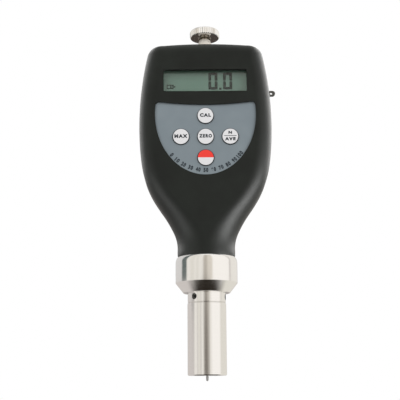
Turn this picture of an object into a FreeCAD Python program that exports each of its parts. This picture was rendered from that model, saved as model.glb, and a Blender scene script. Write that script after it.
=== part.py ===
"""Digital hand-held hardness tester for rubber and plastics, built from its separate pieces.

Units are millimetres. +Z runs up the tester's axis, the display faces -Y and +X is to the right.
The origin is the centre of the presser foot's measuring face; the indenter stands out below it.
"""
import FreeCAD, Part
import math
import os

Vector = FreeCAD.Vector
UP = Vector(0, 0, 1)
BACK = Vector(0, 1, 0)

# General fits
seat_gap = 0.05            # between pieces that are stacked, glued or pressed together
running_gap = 0.05         # radial play of a shaft in its bush, or of a key in its hole
part_gap = 0.3             # play all round a cover or beside a moving piece

# Presser foot, lock ring and collar
foot_diameter = 18.5
foot_height = 34.0
foot_floor = 4.0
foot_hole_diameter = 3.0
foot_edge = 0.4
spigot_diameter = 12.9     # lower end of the barrel, which the foot, ring and collar fit on
spigot_bore = 9.4
ring_diameter = 18.2
ring_height = 5.35
ring_screw_count = 3
ring_screw_diameter = 2.9
ring_screw_length = 1.9
ring_screw_start_angle = -131.0
ring_screw_socket = 1.4
collar_diameter = 29.8
collar_height = 16.55
collar_flat_diameter = 19.6
collar_cone_height = 4.1
collar_cone_bulge = 0.5
collar_shoulder_height = 2.7
neck_diameter = 27.5

# Housing, measured upwards from the collar
body_width = 65.0
body_depth = 28.0
body_height = 106.1
body_crown_radius = 260.0
body_top_edge_radius = 6.0
body_side_radius = 7.4
wall = 2.2
boss_root = 1.0            # how far the bosses reach into the wall
# Share of the height, share of the way from neck to full width, and side radius
shoulder_outline = (
    (0.0, 0.0, 13.5),
    (0.0396, 0.008, 13.5),
    (0.0848, 0.046, 13.3),
    (0.1320, 0.158, 12.6),
    (0.1791, 0.307, 11.6),
    (0.2309, 0.50, 10.4),
    (0.2875, 0.69, 9.4),
    (0.3582, 0.853, 8.4),
    (0.4524, 0.952, 7.8),
)
widest_height = 0.6126 * body_height
top_narrowing = 5.4        # lost on each side from the widest height to the top, along a parabola
upper_stations = 5

# Window and display
window_side = 12.1         # from the opening to the housing's side
window_width = body_width - 2 * window_side
window_height = 11.2
window_level = 0.8058 * body_height  # centre above the collar
window_corner = 0.8
lens_margin = 1.4
lens_thickness = 1.0
display_thickness = 2.4
display_margin_above = 3.4
connector_width = 2.0
connector_height = 1.8
frame_wall = 1.2
frame_setback = 0.4        # frame's front behind the lens's, clear of the housing's rounded sides

# Overlay with its five keys
panel_half_width = 24.5
panel_drop = 30.6          # half height of the ellipse that bounds the overlay
panel_level = window_level - 16.8    # centre of that ellipse above the collar
panel_top_level = window_level - 12.4  # middle of the hollow top edge
panel_top_radius = 177.0
panel_corner = 1.8
panel_thickness = 0.5
panel_recess = 1.3
key_diameter = 8.0
key_row_pitch = 10.5
key_column_pitch = 11.9
key_middle_level = window_level - 28.5  # middle row above the collar
key_sink = 0.3             # from the housing's face back to the keys' faces
key_travel = 0.5
key_flange_diameter = 9.8
key_flange_thickness = 1.0
key_stem_diameter = 3.0
key_crown = 0.25
switch_side = 6.0
switch_body_height = 2.0
switch_button_diameter = 3.2
switch_button_height = 0.6

# Main board
board_thickness = 1.6
board_half_width = 22.6
board_bottom_level = key_middle_level - 15.8
board_top_level = window_level + 16.4
board_corner = 2.0
board_screw_diameter = 2.2
board_screw_head = 4.0
board_post_diameter = 4.8
board_post_inset = 3.4
chip_side = 10.0
chip_height = 1.4
chip_level = key_middle_level + 14.6
chip_spread = 13.0         # from the processor to the smaller chips
small_chip_side = 6.0

# Barrel and measuring unit
barrel_diameter = 18.0
barrel_bore = 14.5
barrel_foot_depth = 17.0   # how far the spigot reaches into the foot
barrel_flange_diameter = 21.6
barrel_flange_thickness = 2.4
barrel_top_level = key_middle_level - 21.4
bush_length = 9.0
spindle_diameter = 5.0
spindle_nose = 9.0         # lower end of the spindle above the measuring face
spindle_top_level = barrel_top_level + 4.0
indenter_diameter = 1.25
indenter_tip_diameter = 0.79
indenter_tip_angle = 35.0
indenter_reach = 2.5
indenter_shank_diameter = 2.4
indenter_shank_start = 5.2
indenter_grip = 7.0        # length of the shank inside the spindle
indenter_screw_diameter = 1.6
spring_seat_thickness = 3.0
spring_wire = 1.2
spring_mean_diameter = 10.6
spring_pitch = 3.0
adjuster_height = 6.0
adjuster_level = barrel_top_level - 8.1  # lower face above the collar
adjuster_slot = 1.6
upper_bush_diameter = 8.0
former_flange_thickness = 1.4
former_diameter = 8.8
former_bore = 5.4
former_headroom = 1.0      # between the bobbin and the battery bay
former_cheek = 0.8
winding_count = 3
core_diameter = 4.2
core_share = 0.563         # of the bobbin's height

# Screws that join the shells
case_screw_diameter = 2.6
case_screw_head = 5.0
case_screw_head_height = 1.8
case_boss_diameter = 5.8
case_screw_depth = 6.0     # head's seat below the rear face
case_screw_length = 13.0
lower_boss_x = 22.4
upper_boss_x = 25.3
upper_boss_level = window_level + 14.2

# Battery bay; the cells are of the AAA size in a housing of this size
cell_diameter = 0.375 * body_depth
cell_length = 0.4194 * body_height
cell_cap_diameter = 3.8
cell_cap_height = 0.9
cell_pitch = cell_diameter + part_gap
cell_count = 4
bay_side_gap = 0.6
bay_spring_space = 5.0
bay_plate_space = 1.4
bay_wall = 1.2
bay_level = 0.4439 * body_height  # inner floor of the bay above the collar
lower_boss_level = bay_level - 4.4
contact_width = 8.0
contact_depth = 6.2
contact_thickness = 0.4
cell_spring_diameter = 6.0
cell_spring_wire = 0.7
cell_spring_turns = 3
cover_thickness = body_depth / 14
cover_tab_width = 2.0
cover_tab_thickness = 1.3
cover_tab_reach = 2.4
cover_latch_width = 9.0
cover_latch_depth = 2.0
cover_latch_thickness = 1.2
cover_grip_count = 5
cover_grip_pitch = 2.4
cover_grip_width = 16.0
cover_grip_depth = 0.6

# Clamping knob on the top
seat_top_diameter = 5.6
seat_base_diameter = 8.7
seat_height = 5.4
seat_sleeve_diameter = 7.4
stud_diameter = 4.7
stud_foot = 6.6            # stud below the housing's top
nut_across = 8.0
nut_height = 3.0
neck_gap = 0.9             # bare stud between the seat and the washer
washer_diameter = 6.2
washer_thickness = 0.5
knob_diameter = 15.0
knob_height = 4.0
knob_top_radius = 1.6
knob_bore_floor = 1.0      # knob material above the stud
knurl_count = 48
knurl_depth = 0.35

# Eye for the wrist cord
eye_level = 0.7823 * body_height
eye_height = 2.7
eye_reach = 3.1
eye_hole_inset = 2.0       # from the eye's tip to its hole's centre
eye_thickness = 1.2
eye_hole_diameter = 1.3
eye_foot_height = 6.0
eye_foot_thickness = 1.6

# Levels and faces that follow from the sizes above
ring_bottom = foot_height
collar_bottom = ring_bottom + ring_height
collar_top = collar_bottom + collar_height
body_top = collar_top + body_height
front_face = -body_depth / 2
front_inside = front_face + wall
rear_face = body_depth / 2
rear_inside = rear_face - wall
lens_front = front_inside + seat_gap
display_front = lens_front + lens_thickness + seat_gap
connector_front = display_front + display_thickness + seat_gap
board_front = connector_front + connector_height + seat_gap
board_back = board_front + board_thickness
window_centre = collar_top + window_level
key_radius = key_diameter / 2
key_hole_radius = key_radius + running_gap
cover_back = rear_face
cover_front = rear_face - cover_thickness
bay_bottom = collar_top + bay_level
bay_height = bay_spring_space + cell_length + bay_plate_space
bay_top = bay_bottom + bay_height
cell_centre_y = cover_front - part_gap - cell_diameter / 2
bay_floor = cell_centre_y - cell_diameter / 2 - part_gap
bay_half_width = (cell_count - 1) * cell_pitch / 2 + cell_diameter / 2 + bay_side_gap
barrel_shoulder = collar_top + barrel_flange_thickness
barrel_top = collar_top + barrel_top_level
spigot_bottom = foot_height - barrel_foot_depth
seat_bottom = barrel_shoulder + part_gap
seat_top = seat_bottom + spring_seat_thickness
adjuster_bottom = collar_top + adjuster_level
spindle_top = collar_top + spindle_top_level
bobbin_top = bay_bottom - bay_wall - former_headroom
core_length = core_share * (bobbin_top - barrel_top)
washer_bottom = body_top + seat_height + neck_gap
knob_bottom = washer_bottom + washer_thickness
stud_top = knob_bottom + knob_height - knob_bore_floor - seat_gap

KEYS = {
    "key_cal": (0.0, key_row_pitch),
    "key_max": (-key_column_pitch, 0.0),
    "key_zero": (0.0, 0.0),
    "key_average": (key_column_pitch, 0.0),
    "key_power": (0.0, -key_row_pitch),
}
BOSSES = (
    (-lower_boss_x, collar_top + lower_boss_level),
    (lower_boss_x, collar_top + lower_boss_level),
    (-upper_boss_x, collar_top + upper_boss_level),
    (upper_boss_x, collar_top + upper_boss_level),
)


def block(x_range, y_range, z_range):
    """A plain block between two corners."""
    size = [high - low for low, high in (x_range, y_range, z_range)]
    return Part.makeBox(*size, Vector(x_range[0], y_range[0], z_range[0]))


def rod(diameter, bottom, top, x=0.0, y=0.0):
    """A round bar along Z."""
    return Part.makeCylinder(diameter / 2, top - bottom, Vector(x, y, bottom), UP)


def pin_y(diameter, front, back, x, z):
    """A round bar along Y."""
    return Part.makeCylinder(diameter / 2, back - front, Vector(x, front, z), BACK)


def turned(points):
    """A solid turned about Z from (radius, height) corners."""
    corners = [Vector(radius, 0, height) for radius, height in points]
    face = Part.Face(Part.makePolygon(corners + corners[:1]))
    return face.revolve(Vector(0, 0, 0), UP, 360)


def rounded_plate(half_width, bottom, top, corner, front, back):
    """A plate in the XZ plane with rounded corners."""
    plate = block((-half_width, half_width), (front, back), (bottom, top))
    return plate.makeFillet(corner, [edge for edge in plate.Edges if is_along_y(edge)])


def is_along_y(edge):
    """True for an edge that runs straight from front to back."""
    step = edge.Vertexes[-1].Point - edge.Vertexes[0].Point
    return abs(step.y) > 0.01 and abs(step.x) < 0.001 and abs(step.z) < 0.001


def fuse_all(first, others):
    """One solid from touching solids."""
    shape = first
    for other in others:
        shape = shape.fuse(other)
    return shape.removeSplitter()


def cut_all(shape, tools):
    """A shape with several tools cut away."""
    for tool in tools:
        shape = shape.cut(tool)
    return shape


def section(level, half_width, half_depth, corner):
    """A closed rounded rectangle at one height of the housing."""
    corner = min(corner, half_width - 0.15, half_depth - 0.15)
    bend = corner * (1 - math.sqrt(0.5))
    edges = []
    for sx, sy in ((1, -1), (1, 1), (-1, 1), (-1, -1)):
        side = Vector(sx * half_width, sy * (half_depth - corner), level)
        end = Vector(sx * (half_width - corner), sy * half_depth, level)
        middle = Vector(sx * (half_width - bend), sy * (half_depth - bend), level)
        if sx * sy > 0:
            edges.append(Part.Arc(side, middle, end).toShape())
            edges.append(Part.LineSegment(end, Vector(-end.x, end.y, level)).toShape())
        else:
            edges.append(Part.Arc(end, middle, side).toShape())
            edges.append(Part.LineSegment(side, Vector(side.x, -side.y, level)).toShape())
    return Part.Wire(edges)


def housing_form(inset):
    """The housing's closed outer form, moved inwards by inset."""
    full = body_width / 2
    neck = neck_diameter / 2
    stations = []
    for height_share, share, corner in shoulder_outline:
        half_depth = neck + (body_depth / 2 - neck) * share
        stations.append((height_share * body_height, neck + (full - neck) * share, half_depth, corner))
    above = body_height + 1.0
    for number in range(upper_stations):
        share = number / (upper_stations - 1)
        height = widest_height + (above - widest_height) * share
        half_width = full - top_narrowing * share ** 2
        stations.append((height, half_width, body_depth / 2, body_side_radius))
    wires = []
    for height, half_width, half_depth, corner in stations:
        level = collar_top + seat_gap + height
        wires.append(section(level, half_width - inset, half_depth - inset, corner - inset))
    form = Part.makeLoft(wires, True, False)
    centre = body_top - body_crown_radius
    crown = Part.makeCylinder(body_crown_radius - inset, body_depth * 2, Vector(0, -body_depth, centre), BACK)
    crown.rotate(Vector(0, 0, centre), BACK, 180)
    form = form.common(crown)
    top_face = max(form.Faces, key=lambda face: face.CenterOfMass.z)
    return form.makeFillet(body_top_edge_radius - inset, top_face.Edges)


def barrel_ribs(cavity):
    """Two webs inside the housing that hold the barrel."""
    webs = []
    for bottom, thickness in ((barrel_shoulder + seat_gap, 2.0), (barrel_top - 3.0, 2.0)):
        slab = block((-body_width, body_width), (-body_depth, body_depth), (bottom, bottom + thickness))
        hole = rod(barrel_diameter + 2 * seat_gap, bottom - 1, bottom + thickness + 1)
        webs.append(slab.common(cavity).cut(hole))
    return webs


def front_shell(outer, cavity, liner):
    """Moulded front half with the window, the overlay's recess and the key holes."""
    half = block((-body_width, body_width), (-body_depth, 0), (collar_top, body_top + 1))
    shell = outer.cut(cavity)
    additions = barrel_ribs(cavity)
    for x, z in BOSSES:
        additions.append(pin_y(case_boss_diameter, front_face, 0, x, z).common(liner))
    for x, z in board_posts():
        additions.append(pin_y(board_post_diameter, front_face, board_front - seat_gap, x, z).common(liner))
    shell = fuse_all(shell, additions).common(half)
    tools = [window_opening(), panel_outline(panel_recess + 1, front_face - 1, seat_gap)]
    for x, z in key_places():
        tools.append(pin_y(2 * key_hole_radius, front_face - 2, front_inside + 1, x, z))
    for x, z in BOSSES:
        tools.append(pin_y(case_screw_diameter, screw_tip(), 1, x, z))
    for x, z in board_posts():
        tools.append(pin_y(board_screw_diameter, board_screw_tip(), 1, x, z))
    tools.append(seat_cut())
    tools.append(eye_slot())
    return cut_all(shell, tools)


def rear_shell(outer, cavity, liner):
    """Moulded rear half with the battery bay."""
    half = block((-body_width, body_width), (0, body_depth), (collar_top, body_top + 1))
    shell = outer.cut(cavity)
    additions = barrel_ribs(cavity)
    for x, z in BOSSES:
        additions.append(pin_y(case_boss_diameter, 0, rear_face, x, z).common(liner))
    shell = fuse_all(shell, additions).common(half)
    outside = bay_half_width + bay_wall
    bay_box = block(
        (-outside, outside),
        (bay_floor - bay_wall, rear_inside + 0.5),
        (bay_bottom - bay_wall, bay_top + bay_wall),
    ).common(outer)
    shell = fuse_all(shell, [bay_box])
    tools = [block((-bay_half_width, bay_half_width), (bay_floor, rear_face + 1), (bay_bottom, bay_top))]
    for x in tab_places():
        tools.append(tab_slot(x))
    for x, z in BOSSES:
        tools.append(pin_y(case_boss_diameter + 2 * part_gap, -body_depth, 0, x, z))
        tools.append(pin_y(case_screw_diameter + 2 * seat_gap, -1, rear_face + 1, x, z))
        head = case_screw_head + 2 * seat_gap
        tools.append(pin_y(head, rear_face - case_screw_depth, rear_face + 1, x, z))
    tools.append(seat_cut())
    tools.append(eye_slot())
    return cut_all(shell, tools)


def window_opening():
    """The hole in the front wall that shows the display."""
    return rounded_plate(
        window_width / 2,
        window_centre - window_height / 2,
        window_centre + window_height / 2,
        window_corner,
        front_face - 1,
        front_inside + 1,
    )


def panel_outline(thickness, front, grow):
    """The half-moon form of the overlay, with a hollow top edge."""
    centre = collar_top + panel_level
    long_radius = panel_drop + grow
    short_radius = panel_half_width + grow
    ellipse = Part.Ellipse(
        Vector(0, front, centre - long_radius),
        Vector(short_radius, front, centre),
        Vector(0, front, centre),
    )
    disc = Part.Face(Part.Wire([ellipse.toShape()])).extrude(Vector(0, thickness, 0))
    top = collar_top + panel_top_level + grow
    hollow = pin_y(2 * panel_top_radius, front - 1, front + thickness + 1, 0, top + panel_top_radius)
    panel = disc.cut(hollow)
    corners = [edge for edge in panel.Edges if is_along_y(edge) and abs(edge.CenterOfMass.x) > 1]
    return panel.makeFillet(panel_corner, corners)


def face_panel():
    """Printed overlay in its recess on the front."""
    front = front_face + panel_recess - panel_thickness
    panel = panel_outline(panel_thickness - seat_gap, front, 0.0)
    holes = [
        pin_y(2 * (key_hole_radius + 0.1), front - 1, front_face + panel_recess + 1, x, z)
        for x, z in key_places()
    ]
    return cut_all(panel, holes)


def key_places():
    """Where the five keys are on the front, in X and Z."""
    middle = collar_top + key_middle_level
    return [(x, middle + z) for x, z in KEYS.values()]


def key(name):
    """One key: a crowned round cap, a flange behind the wall and a stem."""
    x, offset = KEYS[name]
    z = collar_top + key_middle_level + offset
    flange_front = front_inside + part_gap
    flange_back = flange_front + key_flange_thickness
    cap_front = front_face + key_sink
    cap = pin_y(key_diameter, cap_front, flange_back, x, z)
    rim = [edge for edge in cap.Edges if abs(edge.CenterOfMass.y - cap_front) < 1e-6]
    cap = cap.makeFillet(key_crown, rim)
    flange = pin_y(key_flange_diameter, flange_front, flange_back, x, z)
    stem_back = switch_top() - key_travel - 0.1
    stem = pin_y(key_stem_diameter, flange_front, stem_back, x, z)
    return fuse_all(cap, [flange, stem])


def switch_top():
    """Front of a switch's button."""
    return board_front - seat_gap - switch_body_height - switch_button_height


def key_switches():
    """Five low switches on the front of the board, one behind each key."""
    switches = []
    base = board_front - seat_gap
    for x, z in key_places():
        half = switch_side / 2
        case = block((x - half, x + half), (base - switch_body_height, base), (z - half, z + half))
        button = pin_y(switch_button_diameter, switch_top(), base - switch_body_height / 2, x, z)
        switches.append(fuse_all(case, [button]))
    return switches


def window_lens():
    """Clear window glued behind the opening."""
    return rounded_plate(
        window_width / 2 + lens_margin,
        window_centre - window_height / 2 - lens_margin,
        window_centre + window_height / 2 + lens_margin,
        window_corner,
        lens_front,
        lens_front + lens_thickness,
    )


def display_range():
    """Bottom and top of the display's glass."""
    reach = window_height / 2 + display_margin_above
    return window_centre - reach, window_centre + reach


def display_half_width():
    """Half the width of the display's glass."""
    return window_width / 2 + lens_margin


def lcd_glass():
    """The two bonded glasses of the display, the rear one longer at the contacts."""
    bottom, top = display_range()
    half = display_half_width()
    step = display_thickness / 2
    ledge = connector_width + 0.4
    front = block((-half, half), (display_front, display_front + step), (bottom + ledge, top - ledge))
    back = block((-half, half), (display_front + step, display_front + display_thickness), (bottom, top))
    return fuse_all(back, [front])


def lcd_frame():
    """Moulded frame that locates the lens and the display on the board."""
    bottom, top = display_range()
    half = display_half_width() + seat_gap
    outside = block(
        (-half - frame_wall, half + frame_wall),
        (lens_front + frame_setback, board_front - seat_gap),
        (bottom - seat_gap - frame_wall, top + seat_gap + frame_wall),
    )
    inside = block(
        (-half, half),
        (lens_front - 1, board_front + 1),
        (bottom - seat_gap, top + seat_gap),
    )
    return outside.cut(inside)


def lcd_connectors():
    """Two striped rubber strips between the display's edges and the board."""
    bottom, top = display_range()
    half = display_half_width() - 1.0
    strips = []
    for low in (bottom + 0.3, top - 0.3 - connector_width):
        strips.append(block(
            (-half, half),
            (connector_front, connector_front + connector_height),
            (low, low + connector_width),
        ))
    return strips


def board_posts():
    """Where the board's four screws go, in X and Z."""
    bottom = collar_top + board_bottom_level + board_post_inset
    top = collar_top + board_top_level - board_post_inset
    side = board_half_width - board_post_inset
    return [(-side + 4.0, bottom), (side - 4.0, bottom), (-side, top), (side, top)]


def main_board():
    """Circuit board behind the display and the keys."""
    board = rounded_plate(
        board_half_width,
        collar_top + board_bottom_level,
        collar_top + board_top_level,
        board_corner,
        board_front,
        board_back,
    )
    tools = []
    for x, z in BOSSES:
        tools.append(pin_y(case_boss_diameter + 4 * part_gap, board_front - 1, board_back + 1, x, z))
    for x, z in board_posts():
        tools.append(pin_y(board_screw_diameter + 2 * part_gap, board_front - 1, board_back + 1, x, z))
    tools.append(rod(former_diameter + 2 * part_gap, barrel_top, bobbin_top + part_gap))
    return cut_all(board, tools)


def board_screw_tip():
    """Front end of the board's screws."""
    return board_front - 3.0


def board_screws():
    """Four pan-head screws from behind the board into the front shell's posts."""
    screws = []
    for x, z in board_posts():
        shank = pin_y(board_screw_diameter - 2 * seat_gap, board_screw_tip() + seat_gap, board_back + 1, x, z)
        head = pin_y(board_screw_head, board_back + seat_gap, board_back + 1.5, x, z)
        slot = block(
            (x - board_screw_head, x + board_screw_head),
            (board_back + 1.0, board_back + 2),
            (z - 0.3, z + 0.3),
        )
        screws.append(fuse_all(shank, [head]).cut(slot))
    return screws


def chips():
    """Processor and two converters on the back of the board."""
    level = collar_top + chip_level
    aside = chip_spread / 2
    places = (
        (0.0, level, chip_side),
        (-chip_spread, level + aside, small_chip_side),
        (chip_spread, level - aside, small_chip_side),
    )
    solids = []
    for x, z, side in places:
        half = side / 2
        front = board_back + seat_gap
        solids.append(block((x - half, x + half), (front, front + chip_height), (z - half, z + half)))
    return solids


def case_screw_top():
    """Seat of a case screw's head."""
    return rear_face - case_screw_depth


def screw_tip():
    """Front end of the case screws' holes."""
    return case_screw_top() - case_screw_length


def case_screws():
    """Four self-tapping screws from the rear shell into the front shell."""
    screws = []
    for x, z in BOSSES:
        seat = case_screw_top()
        shank = pin_y(case_screw_diameter - 2 * seat_gap, screw_tip() + seat_gap, seat + 1, x, z)
        head = pin_y(case_screw_head, seat + seat_gap, seat + case_screw_head_height, x, z)
        cross = []
        for half_x, half_z in ((1.3, 0.3), (0.3, 1.3)):
            cross.append(block(
                (x - half_x, x + half_x),
                (seat + 0.9, seat + case_screw_head_height + 1),
                (z - half_z, z + half_z),
            ))
        screws.append(cut_all(fuse_all(shank, [head]), cross))
    return screws


def cell_places():
    """X of each cell, from left to right."""
    first = -(cell_count - 1) * cell_pitch / 2
    return [first + number * cell_pitch for number in range(cell_count)]


def battery_cells():
    """Four AAA cells side by side, with alternate ends up."""
    cells = []
    for number, x in enumerate(cell_places()):
        spring_below = number % 2 == 0
        bottom = bay_bottom + (bay_spring_space if spring_below else bay_plate_space)
        top = bottom + cell_length
        can_bottom = bottom + (0.0 if spring_below else cell_cap_height)
        can_top = top - (cell_cap_height if spring_below else 0.0)
        can = rod(cell_diameter, can_bottom, can_top, x, cell_centre_y)
        cap = rod(cell_cap_diameter, bottom, top, x, cell_centre_y)
        cells.append(fuse_all(can, [cap]))
    return cells


def battery_contacts():
    """Plate contacts on both end walls of the bay, one at each end of each cell."""
    plates = []
    for x in cell_places():
        half = contact_width / 2
        y_range = (cell_centre_y - contact_depth / 2, cell_centre_y + contact_depth / 2)
        for low in (bay_bottom + seat_gap, bay_top - seat_gap - contact_thickness):
            plates.append(block((x - half, x + half), y_range, (low, low + contact_thickness)))
    return plates


def coil(radius, wire, height, turns):
    """A coil spring of round wire that stands on the XY plane."""
    rise = height - wire
    helix = Part.makeHelix(rise / turns, rise, radius)
    ring = Part.Wire([Part.makeCircle(wire / 2, Vector(radius, 0, 0), BACK)])
    solid = Part.Wire(helix.Edges).makePipeShell([ring], True, True)
    solid.translate(Vector(0, 0, wire / 2))
    return solid


def battery_springs():
    """Coil contacts that press on the flat end of each cell."""
    springs = []
    clear = 2 * seat_gap + contact_thickness
    length = bay_spring_space - clear - seat_gap
    radius = (cell_spring_diameter - cell_spring_wire) / 2
    for number, x in enumerate(cell_places()):
        bottom = bay_bottom + clear if number % 2 == 0 else bay_top - clear - length
        spring = coil(radius, cell_spring_wire, length, cell_spring_turns)
        spring.translate(Vector(x, cell_centre_y, bottom))
        springs.append(spring)
    return springs


def tab_places():
    """X of the cover's two lower tabs, each between two cells."""
    return (-cell_pitch, cell_pitch)


def tab_slot(x):
    """Hole in the bay's lower wall that a tab reaches into."""
    half = cover_tab_width / 2 + part_gap
    swing = math.hypot(cover_thickness + part_gap + cover_tab_thickness, cover_tab_reach)
    return block(
        (x - half, x + half),
        (cover_back - swing - part_gap, rear_inside),
        (bay_bottom - bay_wall - 2.0, bay_bottom + 0.5),
    )


def battery_cover():
    """Cover of the bay, which tips out about its lower edge."""
    half = bay_half_width - part_gap
    bottom = bay_bottom + part_gap
    top = bay_top - part_gap
    plate = rounded_plate(half, bottom, top, 1.0, cover_front, cover_back)
    pieces = []
    tab_back = cover_front - part_gap
    for x in tab_places():
        side = (x - cover_tab_width / 2, x + cover_tab_width / 2)
        tab_front = tab_back - cover_tab_thickness
        pieces.append(block(side, (tab_front, cover_front), (bottom, bottom + 1.0)))
        pieces.append(block(side, (tab_front, tab_back), (bottom - cover_tab_reach, bottom + 1.0)))
    latch = cover_latch_width / 2
    pieces.append(block(
        (-latch, latch),
        (cover_front - cover_latch_depth, cover_front),
        (top - 0.4 - cover_latch_thickness, top - 0.4),
    ))
    cover = fuse_all(plate, pieces)
    grip = cover_grip_width / 2
    middle = top - 4.0
    grooves = []
    for number in range(cover_grip_count):
        level = middle - number * cover_grip_pitch
        start = Vector(-grip, cover_back, level)
        grooves.append(Part.makeCylinder(cover_grip_depth, 2 * grip, start, Vector(1, 0, 0)))
    return cut_all(cover, grooves)


def presser_foot():
    """Steel tube with the flat measuring face and the indenter's hole."""
    outer = foot_diameter / 2
    bore = spigot_diameter / 2 + seat_gap
    hole = foot_hole_diameter / 2
    return turned((
        (hole, 0),
        (outer - foot_edge, 0),
        (outer, foot_edge),
        (outer, foot_height - foot_edge),
        (outer - foot_edge, foot_height),
        (bore, foot_height),
        (bore, foot_floor),
        (hole, foot_floor),
    ))


def ring_screw_directions():
    """Directions of the lock ring's screws, evenly round the axis."""
    directions = []
    for number in range(ring_screw_count):
        angle = math.radians(ring_screw_start_angle + number * 360 / ring_screw_count)
        directions.append(Vector(math.cos(angle), math.sin(angle), 0))
    return directions


def lock_ring():
    """Ring that clamps the foot's setting, with radial screw holes."""
    outer = ring_diameter / 2
    bore = spigot_diameter / 2 + seat_gap
    edge = 0.25
    bottom = ring_bottom + seat_gap
    top = collar_bottom - seat_gap
    ring = turned((
        (bore, bottom),
        (outer - edge, bottom),
        (outer, bottom + edge),
        (outer, top),
        (bore, top),
    ))
    centre = Vector(0, 0, (bottom + top) / 2)
    holes = [
        Part.makeCylinder(ring_screw_diameter / 2, ring_diameter, centre, direction)
        for direction in ring_screw_directions()
    ]
    return cut_all(ring, holes)


def lock_screws():
    """Three socket grub screws in the lock ring."""
    level = (ring_bottom + collar_bottom) / 2
    start = spigot_diameter / 2 + seat_gap
    screws = []
    for direction in ring_screw_directions():
        tip = direction * start + Vector(0, 0, level)
        body = Part.makeCylinder(ring_screw_diameter / 2 - seat_gap, ring_screw_length, tip, direction)
        mouth = tip + direction * (ring_screw_length - 0.9)
        socket = Part.makeCylinder(ring_screw_socket / 2, 2.0, mouth, direction)
        screws.append(body.cut(socket))
    return screws


def collar():
    """Large collar under the neck, with a cone down to the lock ring."""
    outer = collar_diameter / 2
    bore = spigot_diameter / 2 + seat_gap
    cone_top = collar_bottom + collar_cone_height
    shoulder = collar_top - collar_shoulder_height
    neck = neck_diameter / 2
    bulge = Vector((outer + neck) / 2 + 0.22, 0, shoulder + 0.62 * collar_shoulder_height)
    chord = Vector(outer - collar_flat_diameter / 2, 0, collar_cone_height)
    cone_middle = Vector((outer + collar_flat_diameter / 2) / 2, 0, collar_bottom + collar_cone_height / 2)
    cone_middle += Vector(chord.z, 0, -chord.x) * (collar_cone_bulge / chord.Length)
    edges = []
    path = [
        Vector(neck, 0, collar_top),
        Vector(bore, 0, collar_top),
        Vector(bore, 0, collar_bottom),
        Vector(collar_flat_diameter / 2, 0, collar_bottom),
        Vector(outer, 0, cone_top),
        Vector(outer, 0, shoulder),
    ]
    for number, (first, last) in enumerate(zip(path, path[1:])):
        if number == 3:
            edges.append(Part.Arc(first, cone_middle, last).toShape())
        else:
            edges.append(Part.LineSegment(first, last).toShape())
    edges.append(Part.Arc(path[-1], bulge, path[0]).toShape())
    return Part.Face(Part.Wire(edges)).revolve(Vector(0, 0, 0), UP, 360)


def barrel():
    """Tube that carries the measuring unit and stands in the collar."""
    spigot = spigot_diameter / 2
    spigot_inside = spigot_bore / 2
    flange = barrel_flange_diameter / 2
    outer = barrel_diameter / 2
    inside = barrel_bore / 2
    flange_bottom = collar_top + seat_gap
    return turned((
        (spigot_inside, spigot_bottom),
        (spigot, spigot_bottom),
        (spigot, flange_bottom),
        (flange, flange_bottom),
        (flange, barrel_shoulder),
        (outer, barrel_shoulder),
        (outer, barrel_top),
        (inside, barrel_top),
        (inside, barrel_shoulder),
        (spigot_inside, barrel_shoulder),
    ))


def lower_bush():
    """Plain bearing at the spindle's lower end."""
    bore = spindle_diameter / 2 + running_gap
    outer = spigot_bore / 2 - seat_gap
    return turned((
        (bore, spigot_bottom),
        (outer, spigot_bottom),
        (outer, spigot_bottom + bush_length),
        (bore, spigot_bottom + bush_length),
    ))


def upper_bush():
    """Plain bearing at the spindle's upper end, held in the adjuster."""
    bore = spindle_diameter / 2 + running_gap
    outer = upper_bush_diameter / 2 - seat_gap
    top = adjuster_bottom + adjuster_height
    return turned(((bore, adjuster_bottom), (outer, adjuster_bottom), (outer, top), (bore, top)))


def spring_adjuster():
    """Threaded ring in the barrel's top that sets the spring's load."""
    outer = barrel_bore / 2 - seat_gap
    bore = upper_bush_diameter / 2
    top = adjuster_bottom + adjuster_height
    ring = turned(((bore, adjuster_bottom), (outer, adjuster_bottom), (outer, top), (bore, top)))
    half = adjuster_slot / 2
    slot = block((-barrel_bore, barrel_bore), (-half, half), (top - 1.5, top + 1))
    return ring.cut(slot)


def spindle():
    """Rod from the indenter up to the sensor's core."""
    outer = spindle_diameter / 2
    socket = indenter_shank_diameter / 2 + seat_gap
    depth = spindle_nose + indenter_grip
    core_seat = spindle_top - 2.0
    rod_solid = turned((
        (0, depth),
        (socket, depth),
        (socket, spindle_nose),
        (outer - 0.5, spindle_nose),
        (outer, spindle_nose + 0.5),
        (outer, core_seat),
        (1.0, core_seat),
        (1.0, spindle_top),
        (0, spindle_top),
    ))
    side = spindle_nose + indenter_grip / 3
    hole = Part.makeCylinder(indenter_screw_diameter / 2, outer + 1, Vector(0, 0, side), Vector(1, 0, 0))
    return rod_solid.cut(hole)


def indenter():
    """Hardened pin with a blunt conical point."""
    radius = indenter_diameter / 2
    tip = indenter_tip_diameter / 2
    cone = (radius - tip) / math.tan(math.radians(indenter_tip_angle / 2))
    shank = indenter_shank_diameter / 2
    top = spindle_nose + indenter_grip - seat_gap
    return turned((
        (0, -indenter_reach),
        (tip, -indenter_reach),
        (radius, -indenter_reach + cone),
        (radius, indenter_shank_start),
        (shank, indenter_shank_start + 0.6),
        (shank, top),
        (0, top),
    ))


def indenter_screw():
    """Grub screw that clamps the indenter in the spindle."""
    level = spindle_nose + indenter_grip / 3
    start = indenter_shank_diameter / 2 + seat_gap
    length = spindle_diameter / 2 - start - 0.2
    radius = indenter_screw_diameter / 2 - seat_gap
    return Part.makeCylinder(radius, length, Vector(start, 0, level), Vector(1, 0, 0))


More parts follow.
